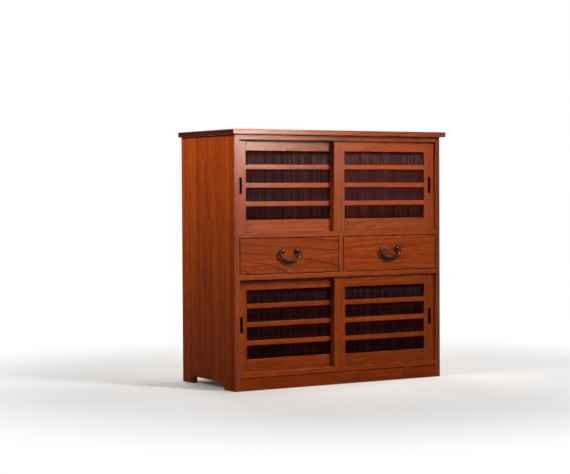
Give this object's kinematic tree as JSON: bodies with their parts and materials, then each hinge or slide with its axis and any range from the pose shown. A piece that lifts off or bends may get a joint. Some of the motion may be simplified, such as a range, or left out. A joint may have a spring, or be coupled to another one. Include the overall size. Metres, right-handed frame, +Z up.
{
  "type": "japanese shoe chest",
  "caption": "Wooden shoe chest with slatted reed-screen sliding doors above and below a pair of drawers with iron bail handles.",
  "frame": {"origin": "centre of the footprint of the overall box, on the floor", "axes": "+X to the right seen from the front, +Y from the front to the back, +Z up; the doors and drawers face -Y"},
  "size_m": [0.938, 0.4288, 0.945],
  "materials": {
    "stained_wood": "reddish brown stain under satin lacquer",
    "plain_wood": "unstained, planed",
    "reed": "dark smoked reeds, matt",
    "iron": "blackened, slightly polished by hands",
    "black_metal": "satin black"
  },
  "bodies": {
    "case": {"top_board": "stained_wood", "left_side": "stained_wood", "right_side": "stained_wood", "top_rail": "stained_wood", "sill_rail": "stained_wood", "middle_rail": "stained_wood", "base_rail": "stained_wood", "kick_board": "stained_wood", "drawer_divider": "stained_wood", "upper_floor": "plain_wood", "drawer_floor": "plain_wood", "bottom_board": "plain_wood", "back_panel": "plain_wood", "back_rails": "plain_wood", "upper_shelf": "plain_wood", "lower_shelf": "plain_wood", "shelf_cleats": "plain_wood"},
    "upper_left_door": {"upper_left_door_left_stile": "stained_wood", "upper_left_door_right_stile": "stained_wood", "upper_left_door_top_rail": "stained_wood", "upper_left_door_bottom_rail": "stained_wood", "upper_left_door_slats": "stained_wood", "upper_left_door_reeds": "reed", "upper_left_door_pull": "black_metal"},
    "upper_right_door": {"upper_right_door_left_stile": "stained_wood", "upper_right_door_right_stile": "stained_wood", "upper_right_door_top_rail": "stained_wood", "upper_right_door_bottom_rail": "stained_wood", "upper_right_door_slats": "stained_wood", "upper_right_door_reeds": "reed", "upper_right_door_pull": "black_metal"},
    "lower_left_door": {"lower_left_door_left_stile": "stained_wood", "lower_left_door_right_stile": "stained_wood", "lower_left_door_top_rail": "stained_wood", "lower_left_door_bottom_rail": "stained_wood", "lower_left_door_slats": "stained_wood", "lower_left_door_reeds": "reed", "lower_left_door_pull": "black_metal"},
    "lower_right_door": {"lower_right_door_left_stile": "stained_wood", "lower_right_door_right_stile": "stained_wood", "lower_right_door_top_rail": "stained_wood", "lower_right_door_bottom_rail": "stained_wood", "lower_right_door_slats": "stained_wood", "lower_right_door_reeds": "reed", "lower_right_door_pull": "black_metal"},
    "left_drawer": {"left_drawer_front": "stained_wood", "left_drawer_left_side": "plain_wood", "left_drawer_right_side": "plain_wood", "left_drawer_back": "plain_wood", "left_drawer_bottom": "plain_wood", "left_drawer_handle_posts": "iron"},
    "left_bail": {"left_drawer_bail": "iron"},
    "right_drawer": {"right_drawer_front": "stained_wood", "right_drawer_left_side": "plain_wood", "right_drawer_right_side": "plain_wood", "right_drawer_back": "plain_wood", "right_drawer_bottom": "plain_wood", "right_drawer_handle_posts": "iron"},
    "right_bail": {"right_drawer_bail": "iron"}
  },
  "joints": [
    {"name": "upper_left_door_slide", "type": "slide", "parent": "case", "child": "upper_left_door", "axis": [1, 0, 0], "range_m": [0, 0.411]},
    {"name": "upper_right_door_slide", "type": "slide", "parent": "case", "child": "upper_right_door", "axis": [-1, 0, 0], "range_m": [0, 0.411]},
    {"name": "lower_left_door_slide", "type": "slide", "parent": "case", "child": "lower_left_door", "axis": [1, 0, 0], "range_m": [0, 0.411]},
    {"name": "lower_right_door_slide", "type": "slide", "parent": "case", "child": "lower_right_door", "axis": [-1, 0, 0], "range_m": [0, 0.411]},
    {"name": "left_drawer_slide", "type": "slide", "parent": "case", "child": "left_drawer", "axis": [0, -1, 0], "range_m": [0, 0.3]},
    {"name": "right_drawer_slide", "type": "slide", "parent": "case", "child": "right_drawer", "axis": [0, -1, 0], "range_m": [0, 0.3]},
    {"name": "left_bail_swing", "type": "hinge", "parent": "left_drawer", "child": "left_bail", "pos_m": [-0.228, -0.20663, 0.502], "axis": [-1, 0, 0], "range_deg": [-11, 191]},
    {"name": "right_bail_swing", "type": "hinge", "parent": "right_drawer", "child": "right_bail", "pos_m": [0.216, -0.20663, 0.502], "axis": [-1, 0, 0], "range_deg": [-11, 191]}
  ]
}
